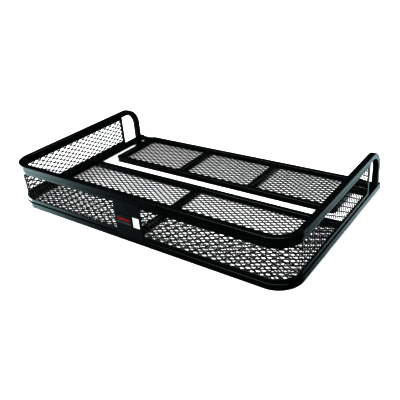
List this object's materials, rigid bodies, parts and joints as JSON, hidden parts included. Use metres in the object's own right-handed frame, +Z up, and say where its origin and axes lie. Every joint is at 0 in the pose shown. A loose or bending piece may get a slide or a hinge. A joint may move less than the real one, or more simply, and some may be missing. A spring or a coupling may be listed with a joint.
{
  "type": "hitch cargo carrier",
  "caption": "Open steel basket carrier: square tube frame, expanded metal floor, walls on front and sides, side hoops, and a rear deck behind a long slot.",
  "frame": {"origin": "underside of the base frame, at the middle of the width and depth", "axes": "+X along the long side, -Y towards the front wall with the plate, +Z up"},
  "size_m": [1.22, 0.768, 0.182],
  "materials": {
    "tube_coat": "semi-gloss black powder coat",
    "strip_coat": "semi-gloss black powder coat",
    "mesh_coat": "semi-gloss black powder coat on expanded metal",
    "end_plug": "matt black plastic",
    "badge_red": "gloss red vinyl",
    "badge_grey": "satin grey vinyl",
    "label_white": "satin white paper label"
  },
  "bodies": {
    "root": {"base_rail": "tube_coat", "floor_cross_tube": "tube_coat", "floor_centre_tube": "tube_coat", "deck_front_tube": "tube_coat", "deck_rear_tube": "tube_coat", "deck_side_tube_left": "tube_coat", "deck_side_tube_right": "tube_coat", "deck_bar_left": "tube_coat", "deck_bar_right": "tube_coat", "deck_link_front_left": "tube_coat", "deck_link_front_right": "tube_coat", "deck_link_rear_left": "tube_coat", "deck_link_rear_right": "tube_coat", "rim_front_tube": "tube_coat", "side_hoop_left": "tube_coat", "side_hoop_right": "tube_coat", "front_top_strip": "strip_coat", "front_bottom_strip": "strip_coat", "side_top_strip_left": "strip_coat", "side_top_strip_right": "strip_coat", "side_bottom_strip_left": "strip_coat", "side_bottom_strip_right": "strip_coat", "wall_end_bar_left": "strip_coat", "wall_end_bar_right": "strip_coat", "name_plate": "strip_coat", "front_wall_mesh": "mesh_coat", "corner_wall_mesh_left": "mesh_coat", "corner_wall_mesh_right": "mesh_coat", "side_wall_mesh_left": "mesh_coat", "side_wall_mesh_right": "mesh_coat", "floor_mesh_left": "mesh_coat", "floor_mesh_right": "mesh_coat", "deck_mesh_left": "mesh_coat", "deck_mesh_centre": "mesh_coat", "deck_mesh_right": "mesh_coat", "rail_end_cap_left": "end_plug", "rail_end_cap_right": "end_plug", "badge": "badge_red", "badge_strip": "badge_grey", "label": "label_white"}
  },
  "joints": []
}
